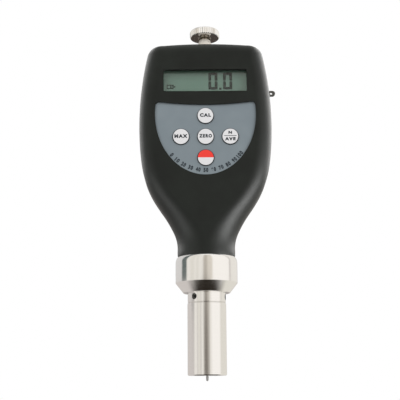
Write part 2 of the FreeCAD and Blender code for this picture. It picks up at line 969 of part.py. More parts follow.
def spring_seat():
    """Collar on the spindle that takes the spring's lower end and rests on the barrel's shoulder."""
    bore = spindle_diameter / 2 + seat_gap / 2
    outer = barrel_bore / 2 - part_gap
    pilot = spring_mean_diameter / 2 - spring_wire / 2 - part_gap
    return turned((
        (bore, seat_bottom),
        (outer, seat_bottom),
        (outer, seat_top),
        (pilot, seat_top),
        (pilot, seat_top + 1.0),
        (bore, seat_top + 1.0),
    ))


def main_spring():
    """Calibrated spring between the seat on the spindle and the adjuster."""
    bottom = seat_top + seat_gap
    height = adjuster_bottom - seat_gap - bottom
    turns = int(height / spring_pitch)
    spring = coil(spring_mean_diameter / 2, spring_wire, height, turns)
    spring.translate(Vector(0, 0, bottom))
    return spring


def winding_space():
    """Height of one winding with the cheek above it."""
    deck = barrel_top + seat_gap + former_flange_thickness
    return (bobbin_top - former_cheek - deck) / winding_count


def coil_former():
    """Bobbin of the displacement sensor, on a flange that closes the barrel."""
    flange = barrel_diameter / 2
    outer = former_diameter / 2
    inner = former_bore / 2
    tube = inner + 0.6
    base = barrel_top + seat_gap
    deck = base + former_flange_thickness
    space = winding_space()
    points = [(inner, base), (flange, base), (flange, deck), (tube, deck)]
    for number in range(winding_count):
        top = deck + (number + 1) * space
        points += [(tube, top), (outer, top), (outer, top + former_cheek), (tube, top + former_cheek)]
    points.append((inner, deck + winding_count * space + former_cheek))
    return turned(points)


def sensor_coil():
    """Copper windings between the bobbin's cheeks."""
    inner = former_bore / 2 + 0.6 + seat_gap
    outer = former_diameter / 2 - 0.2
    deck = barrel_top + seat_gap + former_flange_thickness
    space = winding_space()
    windings = []
    for number in range(winding_count):
        low = deck + number * space + (former_cheek if number else 0) + seat_gap
        high = deck + (number + 1) * space - seat_gap
        windings.append(turned(((inner, low), (outer, low), (outer, high), (inner, high))))
    return windings


def sensor_core():
    """Magnetic core on the spindle's upper pin."""
    bore = 1.0 + seat_gap / 2
    outer = core_diameter / 2
    bottom = spindle_top - 2.0 + seat_gap
    top = bottom + core_length
    return turned((
        (bore, bottom),
        (outer, bottom),
        (outer, top),
        (0, top),
        (0, spindle_top + seat_gap),
        (bore, spindle_top + seat_gap),
    ))


def seat_cut():
    """Round hole in the housing's top for the knob's seat."""
    return rod(seat_sleeve_diameter + 2 * seat_gap, body_top - 8, body_top + 2)


def mount_seat():
    """Conical steel seat clamped through the housing's top."""
    bore = stud_diameter / 2 + seat_gap
    sleeve = seat_sleeve_diameter / 2
    base = body_top + seat_gap
    bottom = body_top - wall - 0.6
    return turned((
        (bore, bottom),
        (sleeve, bottom),
        (sleeve, base),
        (seat_base_diameter / 2, base),
        (seat_base_diameter / 2, base + 0.3),
        (seat_top_diameter / 2, body_top + seat_height),
        (bore, body_top + seat_height),
    ))


def stud_bottom():
    """Lower end of the stud."""
    return body_top - stud_foot


def mount_stud():
    """Threaded stud through the seat, with the nut below it."""
    radius = stud_diameter / 2
    bottom = stud_bottom()
    return turned((
        (0, bottom),
        (radius - 0.4, bottom),
        (radius, bottom + 0.4),
        (radius, stud_top - 0.4),
        (radius - 0.4, stud_top),
        (0, stud_top),
    ))


def stud_nut():
    """Hexagon nut that pulls the seat down on the housing."""
    top = body_top - wall - 0.6 - seat_gap
    corner = nut_across / 2 / math.cos(math.radians(30))
    corners = []
    for number in range(7):
        angle = math.radians(60 * number)
        corners.append(Vector(corner * math.cos(angle), corner * math.sin(angle), top - nut_height))
    prism = Part.Face(Part.makePolygon(corners)).extrude(Vector(0, 0, nut_height))
    return prism.cut(rod(stud_diameter + 2 * seat_gap, top - nut_height - 1, top + 1))


def knob_washer():
    """Washer that stays under the knob when it is screwed up."""
    bore = stud_diameter / 2 + running_gap
    outer = washer_diameter / 2
    top = knob_bottom - seat_gap
    return turned((
        (bore, washer_bottom),
        (outer - 0.2, washer_bottom),
        (outer, washer_bottom + 0.2),
        (outer, top),
        (bore, top),
    ))


def clamp_knob():
    """Knurled knob on the stud, with a rounded top edge."""
    outer = knob_diameter / 2
    top = knob_bottom + knob_height
    bore = stud_diameter / 2 + running_gap
    bore_top = top - knob_bore_floor
    bend = knob_top_radius * (1 - math.sqrt(0.5))
    path = [
        Vector(0, 0, top),
        Vector(0, 0, bore_top),
        Vector(bore, 0, bore_top),
        Vector(bore, 0, knob_bottom),
        Vector(outer - 0.4, 0, knob_bottom),
        Vector(outer, 0, knob_bottom + 0.4),
        Vector(outer, 0, top - knob_top_radius),
    ]
    edges = [Part.LineSegment(first, last).toShape() for first, last in zip(path, path[1:])]
    crown_end = Vector(outer - knob_top_radius, 0, top)
    edges.append(Part.Arc(path[-1], Vector(outer - bend, 0, top - bend), crown_end).toShape())
    edges.append(Part.LineSegment(crown_end, path[0]).toShape())
    blank = Part.Face(Part.Wire(edges)).revolve(Vector(0, 0, 0), UP, 360)
    return blank.common(knurl())


def knurl():
    """A toothed bar whose teeth leave straight grooves round the knob."""
    corners = []
    for number in range(2 * knurl_count + 1):
        angle = math.pi * number / knurl_count
        radius = knob_diameter / 2 + 0.05 - (knurl_depth if number % 2 else 0.0)
        corners.append(Vector(radius * math.cos(angle), radius * math.sin(angle), knob_bottom - 1))
    return Part.Face(Part.makePolygon(corners)).extrude(Vector(0, 0, knob_height + 2))


def eye_side():
    """X of the housing's side at the eye."""
    return body_width / 2 - 0.4


def eye_outline(grow):
    """The eye's tongue and its foot inside the wall."""
    z = collar_top + eye_level
    half = eye_height / 2 + grow
    depth = eye_thickness / 2 + grow
    tip = eye_side() + eye_reach + grow
    tongue = block((eye_side() - wall - 1.0, tip - half), (-depth, depth), (z - half, z + half))
    nose = pin_y(2 * half, -depth, depth, tip - half, z)
    foot_half = eye_foot_height / 2 + grow
    inner = eye_side() - wall - 0.2
    foot = block(
        (inner - eye_foot_thickness - grow, inner + grow),
        (-depth, depth),
        (z - foot_half, z + foot_half),
    )
    return fuse_all(tongue, [nose, foot])


def eye_slot():
    """Room for the eye between the shells."""
    return eye_outline(seat_gap)


def strap_eye():
    """Small metal eye for a wrist cord, clamped between the shells."""
    z = collar_top + eye_level
    hole_x = eye_side() + eye_reach - eye_hole_inset
    hole = pin_y(eye_hole_diameter, -eye_thickness, eye_thickness, hole_x, z)
    return eye_outline(0.0).cut(hole)


def save(name, shape):
    """Writes one sub-part, or a group of like solids, to its own file."""
    solids = shape if isinstance(shape, list) else [shape]
    solids = [solid for item in solids for solid in item.Solids]
    out = solids[0] if len(solids) == 1 else Part.makeCompound(solids)
    volume = sum(solid.Volume for solid in solids)
    print(f"{name}: {len(solids)} solid(s), {volume:.1f} mm3, valid {out.isValid()}")
    out.exportStep(f"parts/{name}.step")


def main():
    """Builds every sub-part and writes it."""
    os.makedirs("parts", exist_ok=True)
    outer = housing_form(0.0)
    cavity = housing_form(wall)
    liner = housing_form(wall - boss_root)
    save("front_shell", front_shell(outer, cavity, liner))
    save("rear_shell", rear_shell(outer, cavity, liner))
    pieces = (
        window_lens, lcd_glass, lcd_frame, lcd_connectors, face_panel, key_switches, main_board,
        board_screws, chips, case_screws, battery_cells, battery_contacts, battery_springs,
        battery_cover, presser_foot, lock_ring, lock_screws, collar, barrel, lower_bush, upper_bush,
        spring_adjuster, spindle, indenter, indenter_screw, spring_seat, main_spring, coil_former,
        sensor_coil, sensor_core, mount_seat, mount_stud, stud_nut, knob_washer, clamp_knob, strap_eye,
    )
    for piece in pieces:
        save(piece.__name__, piece())
    for name in KEYS:
        save(name, key(name))


main()
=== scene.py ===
"""Dressed model of a digital hand-held hardness tester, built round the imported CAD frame."""
import math
import bmesh
import bpy
from mathutils import Matrix, Vector


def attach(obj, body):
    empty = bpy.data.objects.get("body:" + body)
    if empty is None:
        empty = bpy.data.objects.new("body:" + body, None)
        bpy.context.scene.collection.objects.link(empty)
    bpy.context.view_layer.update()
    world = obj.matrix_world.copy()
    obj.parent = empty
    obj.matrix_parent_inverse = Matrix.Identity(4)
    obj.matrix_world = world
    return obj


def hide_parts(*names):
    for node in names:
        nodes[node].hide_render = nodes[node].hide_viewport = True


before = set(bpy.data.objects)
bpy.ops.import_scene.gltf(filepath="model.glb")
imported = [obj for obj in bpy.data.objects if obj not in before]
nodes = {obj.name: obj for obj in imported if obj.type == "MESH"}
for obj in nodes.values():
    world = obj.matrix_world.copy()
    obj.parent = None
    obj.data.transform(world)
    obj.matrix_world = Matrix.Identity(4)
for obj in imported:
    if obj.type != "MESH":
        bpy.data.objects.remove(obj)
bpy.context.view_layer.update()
MM = 0.001

# Camera
# A 78 mm lens a little below the measuring face, which looks up along the tester as the
# photograph's camera did.
CAMERA_PLACE = (-2.92, -417.0, -5.7)
CAMERA_TILT = math.radians(12.2)
CAMERA_ROLL = math.radians(-0.38)
camera_data = bpy.data.cameras.new("camera")
camera_data.lens = 78.3
camera_data.sensor_width = 36.0
camera = bpy.data.objects.new("camera", camera_data)
bpy.context.scene.collection.objects.link(camera)
camera_look = Vector((0, math.cos(CAMERA_TILT), math.sin(CAMERA_TILT)))
camera.matrix_world = (
    Matrix.Translation(Vector(CAMERA_PLACE) * MM)
    @ camera_look.to_track_quat("-Z", "Y").to_matrix().to_4x4()
    @ Matrix.Rotation(CAMERA_ROLL, 4, "Z")
)
bpy.context.scene.camera = camera


# Studio
# A tent of pale cloth panels with darker seams, a dark gap in front where the camera looks in
# and a dark table below. Soft lamps stand round it, and rim lamps that show only in the
# housing's gloss. Camera rays see plain white.
def linear(hex_text):
    """Linear colour from an sRGB hex text."""
    values = [int(hex_text[start:start + 2], 16) / 255 for start in (0, 2, 4)]
    return [
        value / 12.92 if value <= 0.04045 else ((value + 0.055) / 1.055) ** 2.4 for value in values
    ] + [1.0]


def add_node(tree, kind, settings, inputs):
    """Adds a shader node, with its properties, and its sockets' values or links."""
    node = tree.nodes.new("ShaderNode" + kind)
    for name, value in settings.items():
        if name == "stops":
            ramp = node.color_ramp.elements
            ramp[0].position, ramp[0].color = value[0]
            ramp[1].position, ramp[1].color = value[-1]
            for position, colour in value[1:-1]:
                ramp.new(position).color = colour
        else:
            setattr(node, name, value)
    for name, value in inputs.items():
        if isinstance(value, bpy.types.NodeSocket):
            tree.links.new(value, node.inputs[name])
        else:
            node.inputs[name].default_value = value
    return node


TENT_TONES = {
    "lit": "FAF6F1", "cloth": "EAE6DF", "linen": "E0DCD3", "shade": "D5D3D1", "seam": "CDC7C3",
    "glow": "DAD3C8", "gap": "B9B2A8", "dusk": "A8A29B", "slit": "7A746D", "dark": "5C6563",
}


def tent_stops(*panels):
    """Ramp stops of panels: tone, and where it begins and ends in degrees from front to +X."""
    return [
        (degrees / 360 + 0.5, linear(TENT_TONES[tone]))
        for tone, *ends in panels for degrees in ends
    ]


upper_panels = tent_stops(
    ("shade", -180, -106), ("dark", -102, -81), ("cloth", -78, -66), ("linen", -60, -50),
    ("cloth", -43, -41), ("linen", -37, -33), ("cloth", -27, -15), ("gap", -9, -1),
    ("glow", 5, 20), ("lit", 23, 90), ("seam", 94, 98), ("cloth", 102, 140), ("shade", 180),
)
lower_panels = tent_stops(
    ("seam", -180, -84), ("cloth", -79, -64), ("seam", -59, -58), ("linen", -54, -42),
    ("seam", -38, -36), ("cloth", -31, -23), ("dusk", -18), ("slit", -11, 0), ("dusk", 6, 11),
    ("cloth", 18, 25), ("lit", 32, 80), ("linen", 87, 150), ("seam", 180),
)
world = bpy.data.worlds.new("cloth_tent")
bpy.context.scene.world = world
world.use_nodes = True
tree = world.node_tree
tree.nodes.clear()
direction = add_node(tree, "TexCoord", {}, {}).outputs["Generated"]
split = add_node(tree, "SeparateXYZ", {}, {"Vector": direction}).outputs
rise = split["Z"]
front = add_node(tree, "Math", {"operation": "MULTIPLY"}, {0: split["Y"], 1: -1.0}).outputs[0]
turn = add_node(tree, "Math", {"operation": "ARCTAN2"}, {0: split["X"], 1: front}).outputs[0]
place = add_node(
    tree, "Math", {"operation": "MULTIPLY_ADD"}, {0: turn, 1: 0.5 / math.pi, 2: 0.5}
).outputs[0]
upper = add_node(tree, "ValToRGB", {"stops": upper_panels}, {"Fac": place}).outputs["Color"]
cloth = add_node(tree, "ValToRGB", {"stops": lower_panels}, {"Fac": place}).outputs["Color"]
DARK_PLACE = (0, 0.924, -0.382)
nearness = add_node(
    tree, "VectorMath", {"operation": "DOT_PRODUCT"}, {0: direction, 1: DARK_PLACE}
).outputs["Value"]
# Over the lower panels lie the upper ones, the roof, the table, and a dark place low behind the
# tester, which the knob's underside mirrors: each from where it begins to where it is full
for measure, begins, full, layer in (
    (rise, 0.10, 0.118, upper),
    (rise, 0.86, 0.98, linear("F6F5F2")),
    (rise, -0.64, -0.89, linear("2A2520")),
    (nearness, 0.955, 0.978, linear("453E39")),
):
    share = add_node(
        tree, "MapRange", {"interpolation_type": "SMOOTHSTEP"},
        {"Value": measure, "From Min": begins, "From Max": full},
    ).outputs["Result"]
    cloth = add_node(
        tree, "Mix", {"data_type": "RGBA"}, {"Factor": share, 6: cloth, 7: layer}
    ).outputs[2]
rays = add_node(tree, "LightPath", {}, {}).outputs
seen = add_node(
    tree, "Math", {"operation": "MAXIMUM"},
    {0: rays["Is Camera Ray"], 1: rays["Is Transmission Ray"]},
).outputs[0]
bright = add_node(
    tree, "Math", {"operation": "MAXIMUM"}, {0: seen, 1: rays["Is Glossy Ray"]}
).outputs[0]
# Rough faces get less light from below
soft = add_node(
    tree, "MapRange", {},
    {"Value": rise, "From Min": -0.3, "From Max": 0.3, "To Min": 0.42, "To Max": 1.0},
).outputs["Result"]
level = add_node(
    tree, "MapRange", {}, {"Value": bright, "To Min": soft, "To Max": 1.0}
).outputs["Result"]
colour = add_node(
    tree, "Mix", {"data_type": "RGBA"}, {"Factor": seen, 6: cloth, 7: linear("FFFFFF")}
).outputs[2]
background = add_node(tree, "Background", {}, {"Color": colour, "Strength": level}).outputs[0]
add_node(tree, "OutputWorld", {}, {"Surface": background})

LAMP_AIM = Vector((0, 0, 90 * MM))
rim_lit = bpy.data.collections.new("rim_lit")
for name in ("front_shell", "rear_shell", "battery_cover"):
    rim_lit.objects.link(nodes[name])
for name, place_mm, size_mm, watts in (
    ("left_lamp", (-420, -420, 460), 420, 1.75),
    ("right_lamp", (460, -340, 380), 420, 1.6),
    ("rear_lamp", (60, 520, 420), 420, 1.05),
    ("left_rim_lamp", (-430, 230, 380), 600, 2.8),
    ("right_rim_lamp", (430, 230, 380), 600, 4.6),
    ("left_low_rim_lamp", (-480, -240, -190), 420, 1.7),
    ("right_low_rim_lamp", (480, -240, -190), 460, 7.5),
):
    lamp = bpy.data.lights.new(name, "AREA")
    lamp.size = size_mm * MM
    lamp.energy = watts
    lamp_object = bpy.data.objects.new(name, lamp)
    bpy.context.scene.collection.objects.link(lamp_object)
    lamp_object.visible_camera = False
    if "rim" in name:
        lamp_object.light_linking.receiver_collection = rim_lit
        lamp_object.visible_diffuse = False
    else:
        lamp_object.visible_glossy = False
    lamp_place = Vector(place_mm) * MM
    lamp_turn = (LAMP_AIM - lamp_place).to_track_quat("-Z", "Y")
    lamp_object.matrix_world = Matrix.Translation(lamp_place) @ lamp_turn.to_matrix().to_4x4()

# Floor
# Matt pale board just under the indenter's tip. It can't be seen from below, where the camera
# is, and all rays but the camera's pass through it to the tent.
FLOOR_LEVEL = -2.6
FLOOR_RADIUS = 900


def start_material(name):
    """An empty material with the Object coordinates of the piece it is on."""
    material = bpy.data.materials.new(name)
    material.use_nodes = True
    material.node_tree.nodes.clear()
    coordinates = add_node(material.node_tree, "TexCoord", {}, {}).outputs["Object"]
    return material, material.node_tree, coordinates


def piece_from(form, name):
    """A scene object at the origin from a finished bmesh."""
    mesh = bpy.data.meshes.new(name)
    form.to_mesh(mesh)
    form.free()
    made = bpy.data.objects.new(name, mesh)
    bpy.context.scene.collection.objects.link(made)
    return made


floor_material, tree, coordinates = start_material("pale_board")
mottle = add_node(
    tree, "TexNoise", {}, {"Vector": coordinates, "Scale": 1 / (20 * MM)}
).outputs["Fac"]
board_colour = add_node(
    tree, "ValToRGB", {"stops": [(0.0, linear("F1F0EE")), (1.0, linear("F5F4F2"))]},
    {"Fac": mottle},
).outputs["Color"]
matt = add_node(tree, "BsdfDiffuse", {}, {"Color": board_colour}).outputs[0]
clear = add_node(tree, "BsdfTransparent", {}, {}).outputs[0]
below = add_node(tree, "NewGeometry", {}, {}).outputs["Backfacing"]
rays = add_node(tree, "LightPath", {}, {}).outputs
unseen = add_node(
    tree, "Math", {"operation": "SUBTRACT"}, {0: 1.0, 1: rays["Is Camera Ray"]}
).outputs[0]
hidden = add_node(tree, "Math", {"operation": "MAXIMUM"}, {0: below, 1: unseen}).outputs[0]
surface = add_node(tree, "MixShader", {}, {"Fac": hidden, 1: matt, 2: clear}).outputs[0]
add_node(tree, "OutputMaterial", {}, {"Surface": surface})
floor_form = bmesh.new()
bmesh.ops.create_circle(floor_form, cap_ends=True, radius=FLOOR_RADIUS * MM, segments=96)
bmesh.ops.translate(floor_form, verts=floor_form.verts, vec=(0, 0, FLOOR_LEVEL * MM))
floor = piece_from(floor_form, "floor")
floor.data.materials.append(floor_material)

# Housing shells and battery cover
# Two shells and a cover moulded in black ABS. The tool was spark eroded, which leaves a fine
# even grain and a satin sheen; the shells are screwed together from behind.
SHELL_BLACK = "131715"
SHELL_WORN = "1A1F1C"


def dress(material, *names):
    """Gives CAD nodes a finish."""
    for name in names:
        for slot in nodes[name].material_slots:
            slot.material = material


abs_satin, tree, coordinates = start_material("abs_spark_eroded")
patches = add_node(
    tree, "TexNoise", {}, {"Vector": coordinates, "Scale": 1 / (9 * MM), "Detail": 3.0}
).outputs["Fac"]
shell_colour = add_node(
    tree, "ValToRGB", {"stops": [(0.3, linear(SHELL_BLACK)), (0.75, linear(SHELL_WORN))]},
    {"Fac": patches},
).outputs["Color"]
# The real grain is about 0.1 mm; it is drawn at 0.6 mm so that it shows
grain = add_node(
    tree, "TexNoise", {}, {"Vector": coordinates, "Scale": 1 / (0.6 * MM), "Detail": 2.0}
).outputs["Fac"]
sheen = add_node(
    tree, "MapRange", {}, {"Value": grain, "To Min": 0.40, "To Max": 0.54}
).outputs["Result"]
relief = add_node(
    tree, "Bump", {}, {"Height": grain, "Strength": 0.35, "Distance": 0.04 * MM}
).outputs["Normal"]
surface = add_node(
    tree, "BsdfPrincipled", {},
    {"Base Color": shell_colour, "Roughness": sheen, "Normal": relief, "Specular IOR Level": 0.26},
).outputs[0]
add_node(tree, "OutputMaterial", {}, {"Surface": surface})
dress(abs_satin, "front_shell", "rear_shell", "battery_cover")

# Window
# Clear acrylic sheet, cut square and glued behind the opening. Light goes straight through
# it, with a faint gloss.
acrylic, tree, coordinates = start_material("clear_acrylic")
haze = add_node(
    tree, "TexNoise", {}, {"Vector": coordinates, "Scale": 1 / (6 * MM)}
).outputs["Fac"]
haze_level = add_node(
    tree, "MapRange", {}, {"Value": haze, "To Min": 0.02, "To Max": 0.05}
).outputs["Result"]
glass = add_node(
    tree, "BsdfPrincipled", {},
    {"Base Color": linear("F4F8F5"), "Roughness": haze_level, "IOR": 1.49,
     "Transmission Weight": 1.0, "Specular IOR Level": 0.2},
).outputs[0]
through = add_node(tree, "BsdfTransparent", {}, {"Color": linear("EEF4F0")}).outputs[0]
rays = add_node(tree, "LightPath", {}, {}).outputs
straight = add_node(
    tree, "Math", {"operation": "MAXIMUM"}, {0: rays["Is Shadow Ray"], 1: rays["Is Diffuse Ray"]}
).outputs[0]
surface = add_node(tree, "MixShader", {}, {"Fac": straight, 1: glass, 2: through}).outputs[0]
add_node(tree, "OutputMaterial", {}, {"Surface": surface})
dress(acrylic, "window_lens")

# Display
# Reflective liquid crystal display: two glasses with a grey-green polariser on the front. The
# segments that are on stand as dark bars on it.
DISPLAY_FRONT = -10.70
SEGMENT_FRONT = -10.73
SEGMENT_WIDTH = 1.42
SEGMENT_POINT = 0.3
SEGMENT_GAP = 0.25
DIGIT_SIDES = ((1.56, 6.08), (8.79, 13.31))
DIGIT_BOTTOM = 137.4
DIGIT_HEIGHT = 8.9
POINT_PLACE = (7.43, 137.9)
POINT_SIZE = 1.15
# A frame, two bars and the cell's cap: x, z, width, height and point
BATTERY_SIGN = (
    (-17.2, 138.1, 3.4, 0.42, 0.0), (-17.2, 139.9, 3.4, 0.42, 0.0),
    (-18.7, 139.0, 0.42, 1.6, 0.0), (-17.0, 139.0, 0.42, 1.6, 0.0),
    (-16.3, 139.0, 0.42, 1.6, 0.0), (-15.7, 139.0, 0.42, 1.6, 0.0),
    (-15.0, 139.0, 0.7, 0.9, 0.2),
)
polariser, tree, coordinates = start_material("display_polariser")
cloud = add_node(
    tree, "TexNoise", {}, {"Vector": coordinates, "Scale": 1 / (12 * MM)}
).outputs["Fac"]
grey_green = add_node(
    tree, "ValToRGB", {"stops": [(0.25, linear("6A847B")), (0.8, linear("748C84"))]},
    {"Fac": cloud},
).outputs["Color"]
surface = add_node(
    tree, "BsdfPrincipled", {},
    {"Base Color": grey_green, "Roughness": 0.42, "Specular IOR Level": 0.35},
).outputs[0]
add_node(tree, "OutputMaterial", {}, {"Surface": surface})
dress(polariser, "lcd_glass")


def bar(form, centre_x, centre_z, width, height, front, back, point=0.0):
    """A flat bar on a front face, with its corners cut to a point."""
    made = bmesh.ops.create_cube(form, size=1.0)["verts"]
    size = Vector((width, back - front, height))
    centre = Vector((centre_x, (front + back) / 2, centre_z))
    bmesh.ops.scale(form, vec=size * MM, verts=made)
    bmesh.ops.translate(form, vec=centre * MM, verts=made)
    if point:
        edges = dict.fromkeys(edge for vertex in made for edge in vertex.link_edges)
        corners = [
            edge for edge in edges if abs(edge.verts[0].co.y - edge.verts[1].co.y) > 0.001 * MM
        ]
        bmesh.ops.bevel(
            form, geom=corners, offset=point * MM, segments=1, profile=0.5, affect="EDGES",
            material=-1,
        )


display_ink, tree, coordinates = start_material("display_segment")
smear = add_node(
    tree, "TexNoise", {}, {"Vector": coordinates, "Scale": 1 / (2 * MM)}
).outputs["Fac"]
segment_colour = add_node(
    tree, "ValToRGB", {"stops": [(0.2, linear("04100B")), (0.9, linear("081711"))]},
    {"Fac": smear},
).outputs["Color"]
surface = add_node(
    tree, "BsdfPrincipled", {},
    {"Base Color": segment_colour, "Roughness": 0.5, "Specular IOR Level": 0.15},
).outputs[0]
add_node(tree, "OutputMaterial", {}, {"Surface": surface})
middle = DIGIT_BOTTOM + DIGIT_HEIGHT / 2
upright = DIGIT_HEIGHT / 2 - SEGMENT_GAP
dark_bars = []
for left, right in DIGIT_SIDES:
    for x in (left + SEGMENT_WIDTH / 2, right - SEGMENT_WIDTH / 2):
        for z in (middle - DIGIT_HEIGHT / 4, middle + DIGIT_HEIGHT / 4):
            dark_bars.append((x, z, SEGMENT_WIDTH, upright, SEGMENT_POINT))
    across = right - left - 2 * SEGMENT_WIDTH + 2 * SEGMENT_GAP
    for z in (DIGIT_BOTTOM + SEGMENT_WIDTH / 2, DIGIT_BOTTOM + DIGIT_HEIGHT - SEGMENT_WIDTH / 2):
        dark_bars.append(((left + right) / 2, z, across, SEGMENT_WIDTH, SEGMENT_POINT))
dark_bars.append((*POINT_PLACE, POINT_SIZE, POINT_SIZE, SEGMENT_POINT / 2))
dark_bars += BATTERY_SIGN
digits = bmesh.new()
for x, z, width, height, point in dark_bars:
    bar(digits, x, z, width, height, SEGMENT_FRONT, DISPLAY_FRONT, point)
display_digits = piece_from(digits, "display_digits")
display_digits.data.materials.append(display_ink)
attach(display_digits, "housing")

# Overlay
# Blue-grey polycarbonate film, printed from behind and stuck in its recess. It carries a plain row
# of numbers, and dark rings round the keys that are painted shade of the gap round each key.
overlay_film, tree, coordinates = start_material("printed_polycarbonate_film")
tone = add_node(
    tree, "TexNoise", {}, {"Vector": coordinates, "Scale": 1 / (14 * MM)}
).outputs["Fac"]
film_colour = add_node(
    tree, "ValToRGB", {"stops": [(0.3, linear("808C95")), (0.75, linear("8A969E"))]},
    {"Fac": tone},
).outputs["Color"]
# Film grain of about 0.15 mm, drawn at 0.5 mm so that it shows
stipple = add_node(
    tree, "TexNoise", {}, {"Vector": coordinates, "Scale": 1 / (0.5 * MM)}
).outputs["Fac"]
relief = add_node(
    tree, "Bump", {}, {"Height": stipple, "Strength": 0.2, "Distance": 0.02 * MM}
).outputs["Normal"]
surface = add_node(
    tree, "BsdfPrincipled", {},
    {"Base Color": film_colour, "Roughness": 0.5, "Normal": relief, "Specular IOR Level": 0.3},
).outputs[0]
add_node(tree, "OutputMaterial", {}, {"Surface": surface})
dress(overlay_film, "face_panel")

OVERLAY_FRONT = -13.20
INK_THICKNESS = 0.02
KEY_PLACES = {
    "key_cal": (0.0, 123.4), "key_max": (-11.9, 112.9), "key_zero": (0.0, 112.9),
    "key_average": (11.9, 112.9), "key_power": (0.0, 102.4),
}


def printed_words(form, words, front):
    """Adds flat bold lettering on a front face: text, x, z, width, height and turn."""
    for text, x, z, width, height, turned in words:
        curve = bpy.data.curves.new("lettering", "FONT")
        curve.body = text
        curve.offset = 0.062
        curve.space_character = 1.3
        curve.extrude = 0.5
        holder = bpy.data.objects.new("lettering", curve)
        bpy.context.scene.collection.objects.link(holder)
        bpy.context.view_layer.update()
        shaped = holder.evaluated_get(bpy.context.evaluated_depsgraph_get())
        letters = bpy.data.meshes.new_from_object(shaped)
        bpy.data.objects.remove(holder)
        across = [vertex.co.x for vertex in letters.vertices]
        up = [vertex.co.y for vertex in letters.vertices]
        middle = Vector(((max(across) + min(across)) / 2, (max(up) + min(up)) / 2, 0))
        stretch = (width / (max(across) - min(across)), height / (max(up) - min(up)), INK_THICKNESS)
        letters.transform(
            Matrix.Translation(Vector((x, front - INK_THICKNESS / 2, z)) * MM)
            @ Matrix.Rotation(turned, 4, "Y")
            @ Matrix.Rotation(math.radians(90), 4, "X")
            @ Matrix.Diagonal([value * MM for value in stretch] + [1])
            @ Matrix.Translation(-middle)
        )
        form.from_mesh(letters)


# Dark ink of the numbers and legends; the same material also paints the shade in the gap round each
# key
dark_ink_and_gap_shade, tree, coordinates = start_material("dark_screen_ink_and_gap_shade")
cover = add_node(
    tree, "TexNoise", {}, {"Vector": coordinates, "Scale": 1 / (0.8 * MM)}
).outputs["Fac"]
ink_colour = add_node(
    tree, "ValToRGB", {"stops": [(0.2, linear("17212A")), (0.9, linear("222E38"))]},
    {"Fac": cover},
).outputs["Color"]
surface = add_node(
    tree, "BsdfPrincipled", {}, {"Base Color": ink_colour, "Roughness": 0.55}
).outputs[0]
add_node(tree, "OutputMaterial", {}, {"Surface": surface})

# The numbers 0 to 100 stand on an arc, the same angle apart
NUMBER_RADIUS = 21.2
NUMBER_CENTRE = 117.5
NUMBER_SPREAD = math.radians(50.3)
NUMERAL_WIDTH = 1.15
NUMERAL_HEIGHT = 2.15
print_and_gap_shade_form = bmesh.new()
numbers = []
for step in range(11):
    angle = NUMBER_SPREAD * (step / 5 - 1)
    text = str(step * 10)
    x = NUMBER_RADIUS * math.sin(angle)
    z = NUMBER_CENTRE - NUMBER_RADIUS * math.cos(angle)
    numbers.append((text, x, z, NUMERAL_WIDTH * len(text), NUMERAL_HEIGHT, -angle))
printed_words(print_and_gap_shade_form, numbers, OVERLAY_FRONT)

# A thin dark ring round each key: painted shade of the gap between the key and the film
GAP_SHADE_RADIUS = 4.40
GAP_SHADE_WIDTH = 0.24
upright_turn = Matrix.Rotation(math.radians(90), 3, "X")
for x, z in KEY_PLACES.values():
    rim = bmesh.ops.create_circle(
        print_and_gap_shade_form, cap_ends=True, radius=GAP_SHADE_RADIUS * MM, segments=48
    )["verts"]
    disc = rim[0].link_faces[0]
    bmesh.ops.inset_region(print_and_gap_shade_form, faces=[disc], thickness=GAP_SHADE_WIDTH * MM)
    ring = list({*rim, *disc.verts})
    bmesh.ops.delete(print_and_gap_shade_form, geom=[disc], context="FACES_ONLY")
    bmesh.ops.rotate(print_and_gap_shade_form, verts=ring, cent=(0, 0, 0), matrix=upright_turn)
    ring_place = Vector((x, OVERLAY_FRONT - INK_THICKNESS / 2, z))
    bmesh.ops.translate(print_and_gap_shade_form, verts=ring, vec=ring_place * MM)
overlay_print_and_gap_shade = piece_from(print_and_gap_shade_form, "overlay_print_and_gap_shade")
overlay_print_and_gap_shade.data.materials.append(dark_ink_and_gap_shade)
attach(overlay_print_and_gap_shade, "housing")

# Keys
# Five round caps of moulded ABS, sprayed white and printed. They travel in the front shell's
# holes; the dark edge on each cap is painted shade of the gap round it.
KEY_FRONT = -13.70
KEY_WHITE = "ECEEF3"
KEY_RED = "FB4138"
# Colour of the painted shade of the gap round each key, and the radii where it begins and is full
KEY_GAP_SHADE = "2A323A"
GAP_SHADE_BEGINS = 3.72
GAP_SHADE_FULL = 3.80
SPRAY_BLUR = 0.05


